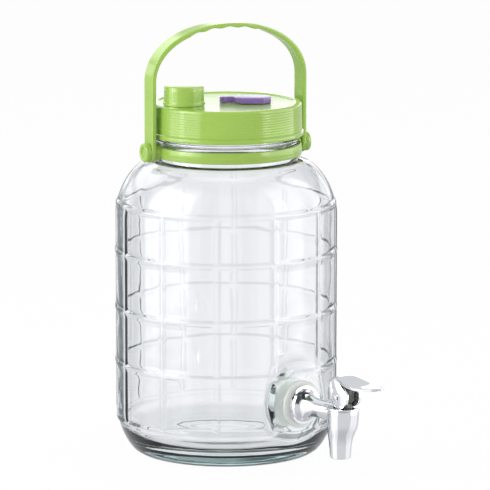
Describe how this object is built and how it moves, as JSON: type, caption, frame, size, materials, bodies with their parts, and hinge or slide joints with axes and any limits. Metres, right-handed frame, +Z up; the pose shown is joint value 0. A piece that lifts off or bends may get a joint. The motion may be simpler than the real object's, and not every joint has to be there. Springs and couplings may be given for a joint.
{
  "type": "fermentation jar with spigot",
  "caption": "Ribbed glass fermentation jar with a screw lid, capped pouring spout, vent plug, bail handle on a neck collar and a lever tap near the base.",
  "frame": {"origin": "on the jar's axis, in the plane the jar stands on", "axes": "+Z up along the jar's axis, the tap points along -Y, the pouring spout lies towards -X"},
  "size_m": [0.2052, 0.3173, 0.3968],
  "materials": {
    "clear_glass": "clear, slightly green, polished",
    "green_plastic": "glossy",
    "purple_plastic": "glossy",
    "silicone": "milky, satin",
    "chrome": "mirror",
    "black_plastic": "satin",
    "white_plastic": "satin",
    "steel": "bright"
  },
  "bodies": {
    "jar": {"glass_jar": "clear_glass", "tap_body": "chrome", "tap_bonnet": "chrome", "stem_guide": "black_plastic", "tap_outer_washer": "silicone", "tap_inner_washer": "silicone", "tap_nut": "white_plastic", "valve_spring": "steel"},
    "collar": {"neck_collar": "green_plastic", "pivot_cap_left": "green_plastic", "pivot_cap_right": "green_plastic"},
    "handle": {"bail_handle": "green_plastic"},
    "gasket": {"lid_gasket": "silicone"},
    "lid": {"screw_lid": "green_plastic"},
    "cap_liner": {"spout_cap_liner": "silicone"},
    "spout_cap": {"spout_cap": "green_plastic"},
    "vent_plug": {"vent_plug": "purple_plastic"},
    "stem": {"valve_stem": "steel", "valve_plug": "silicone", "stem_head": "black_plastic", "lever_pin": "steel"},
    "lever": {"tap_lever": "chrome"}
  },
  "joints": [
    {"name": "collar_turn", "type": "hinge", "parent": "jar", "child": "collar", "pos_m": [0, 0, 0.2818], "axis": [0, 0, 1], "continuous": true},
    {"name": "handle_swing", "type": "hinge", "parent": "collar", "child": "handle", "pos_m": [0, 0, 0.2818], "axis": [0.9668, -0.2554, 0], "range_deg": [-100, 100]},
    {"name": "lid_lift", "type": "slide", "parent": "jar", "child": "gasket", "axis": [0, 0, 1], "range_m": [0, 0.02]},
    {"name": "lid_turn", "type": "hinge", "parent": "gasket", "child": "lid", "pos_m": [0, 0, 0.3227], "axis": [0, 0, 1], "range_deg": [0, 900]},
    {"name": "spout_cap_lift", "type": "slide", "parent": "lid", "child": "cap_liner", "axis": [0, 0, 1], "range_m": [0, 0.014]},
    {"name": "spout_cap_turn", "type": "hinge", "parent": "cap_liner", "child": "spout_cap", "pos_m": [-0.05, 0, 0.3427], "axis": [0, 0, 1], "range_deg": [0, 1260]},
    {"name": "vent_plug_pull", "type": "slide", "parent": "lid", "child": "vent_plug", "axis": [0, 0, 1], "range_m": [0, 0.012]},
    {"name": "stem_lift", "type": "slide", "parent": "jar", "child": "stem", "axis": [0, 0, 1], "range_m": [0, 0.0023], "deforming": ["valve_spring"]},
    {"name": "lever_press", "type": "hinge", "parent": "stem", "child": "lever", "pos_m": [0, -0.162, 0.0738], "axis": [1, 0, 0], "range_deg": [0, 28], "stiffness_Nm_per_rad": 0.3, "springref_deg": -17.19}
  ],
  "couplings": [
    {"joint": "lid_lift", "follows": "lid_turn", "m_per_rad": 0.0012731},
    {"joint": "spout_cap_lift", "follows": "spout_cap_turn", "m_per_rad": 0.00063656},
    {"joint": "stem_lift", "follows": "lever_press", "m_per_rad": 0.0045}
  ]
}
